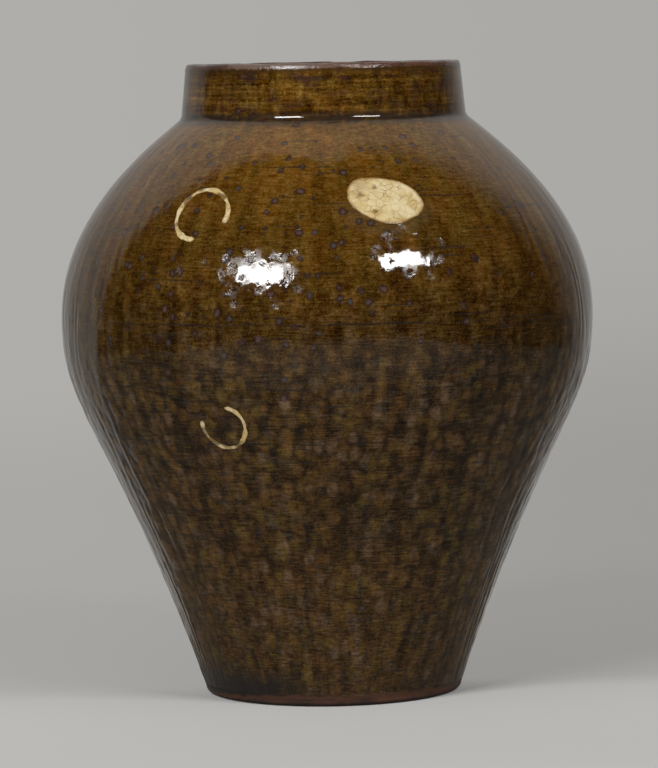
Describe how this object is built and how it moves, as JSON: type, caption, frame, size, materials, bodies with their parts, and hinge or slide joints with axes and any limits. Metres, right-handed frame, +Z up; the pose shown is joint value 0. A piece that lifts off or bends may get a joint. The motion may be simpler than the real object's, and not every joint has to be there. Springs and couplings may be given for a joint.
{
  "type": "storage jar",
  "caption": "Wide-shouldered stoneware storage jar with a short upright neck and an open mouth, glazed inside and out, standing on a bare clay foot.",
  "frame": {"origin": "centre of the foot's resting plane, on the jar's axis", "axes": "+Z up the jar's axis to the mouth; the front, which carries the slip marks, faces -Y; +X to the right"},
  "size_m": [0.279, 0.279, 0.33],
  "materials": {
    "bare_stoneware": "unglazed red-brown stoneware, matt, slightly gritty",
    "olive_glaze": "glossy olive-brown ash glaze, mottled and pitted",
    "lining_glaze": "glossy dark olive-brown lining glaze",
    "pale_slip": "cream slip under a clear crackled gloss"
  },
  "bodies": {
    "root": {"floor_disc": "bare_stoneware", "lower_wall": "bare_stoneware", "middle_wall": "bare_stoneware", "belly_wall": "bare_stoneware", "upper_wall": "bare_stoneware", "shoulder_wall": "bare_stoneware", "neck_collar": "bare_stoneware", "outer_glaze": "olive_glaze", "inner_glaze": "lining_glaze", "slip_dab": "pale_slip", "slip_ring_large": "pale_slip", "slip_ring_small": "pale_slip"}
  },
  "joints": []
}
